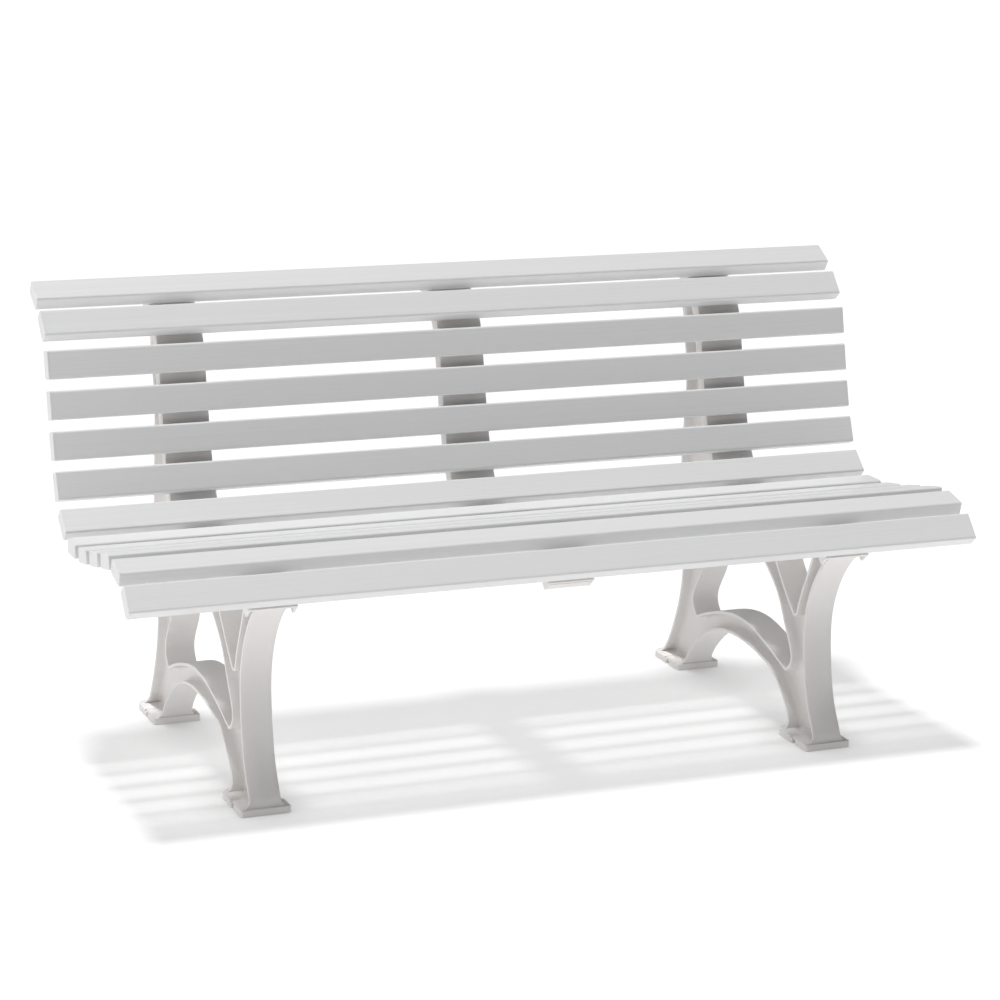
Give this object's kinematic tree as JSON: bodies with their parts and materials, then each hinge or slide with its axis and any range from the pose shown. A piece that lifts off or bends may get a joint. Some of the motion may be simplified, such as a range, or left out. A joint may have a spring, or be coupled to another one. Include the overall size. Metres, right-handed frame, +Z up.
{
  "type": "garden bench",
  "caption": "Backed garden bench of hollow capped slats on curved carrier rails, held by two open arched leg frames with slotted feet.",
  "frame": {"origin": "on the floor, half way along the bench and half way between the toe and the heel of the feet", "axes": "+X along the slats towards the sitter's left-hand end, -Y the front of the seat, +Y the back, +Z up"},
  "size_m": [1.5, 0.6773, 0.7927],
  "materials": {
    "slat": "extruded white PVC, satin sheen, fine draw lines along the length",
    "end_cap": "moulded white plastic, smooth satin",
    "rail": "moulded white plastic, very fine texture",
    "leg_frame": "moulded white plastic, fine texture, slightly worn edges",
    "screw": "stainless steel pan head"
  },
  "bodies": {
    "root": {"back_slat_1": "slat", "back_slat_2": "slat", "back_slat_3": "slat", "back_slat_4": "slat", "back_slat_5": "slat", "back_slat_6": "slat", "back_slat_7": "slat", "seat_slat_1": "slat", "seat_slat_2": "slat", "seat_slat_3": "slat", "seat_slat_4": "slat", "seat_slat_5": "slat", "seat_slat_6": "slat", "back_slat_1_cap_left": "end_cap", "back_slat_1_cap_right": "end_cap", "back_slat_2_cap_left": "end_cap", "back_slat_2_cap_right": "end_cap", "back_slat_3_cap_left": "end_cap", "back_slat_3_cap_right": "end_cap", "back_slat_4_cap_left": "end_cap", "back_slat_4_cap_right": "end_cap", "back_slat_5_cap_left": "end_cap", "back_slat_5_cap_right": "end_cap", "back_slat_6_cap_left": "end_cap", "back_slat_6_cap_right": "end_cap", "back_slat_7_cap_left": "end_cap", "back_slat_7_cap_right": "end_cap", "seat_slat_1_cap_left": "end_cap", "seat_slat_1_cap_right": "end_cap", "seat_slat_2_cap_left": "end_cap", "seat_slat_2_cap_right": "end_cap", "seat_slat_3_cap_left": "end_cap", "seat_slat_3_cap_right": "end_cap", "seat_slat_4_cap_left": "end_cap", "seat_slat_4_cap_right": "end_cap", "seat_slat_5_cap_left": "end_cap", "seat_slat_5_cap_right": "end_cap", "seat_slat_6_cap_left": "end_cap", "seat_slat_6_cap_right": "end_cap", "carrier_rail_left": "rail", "carrier_rail_middle": "rail", "carrier_rail_right": "rail", "leg_frame_left": "leg_frame", "leg_frame_right": "leg_frame", "screws_left": "screw", "screws_middle": "screw", "screws_right": "screw"}
  },
  "joints": []
}
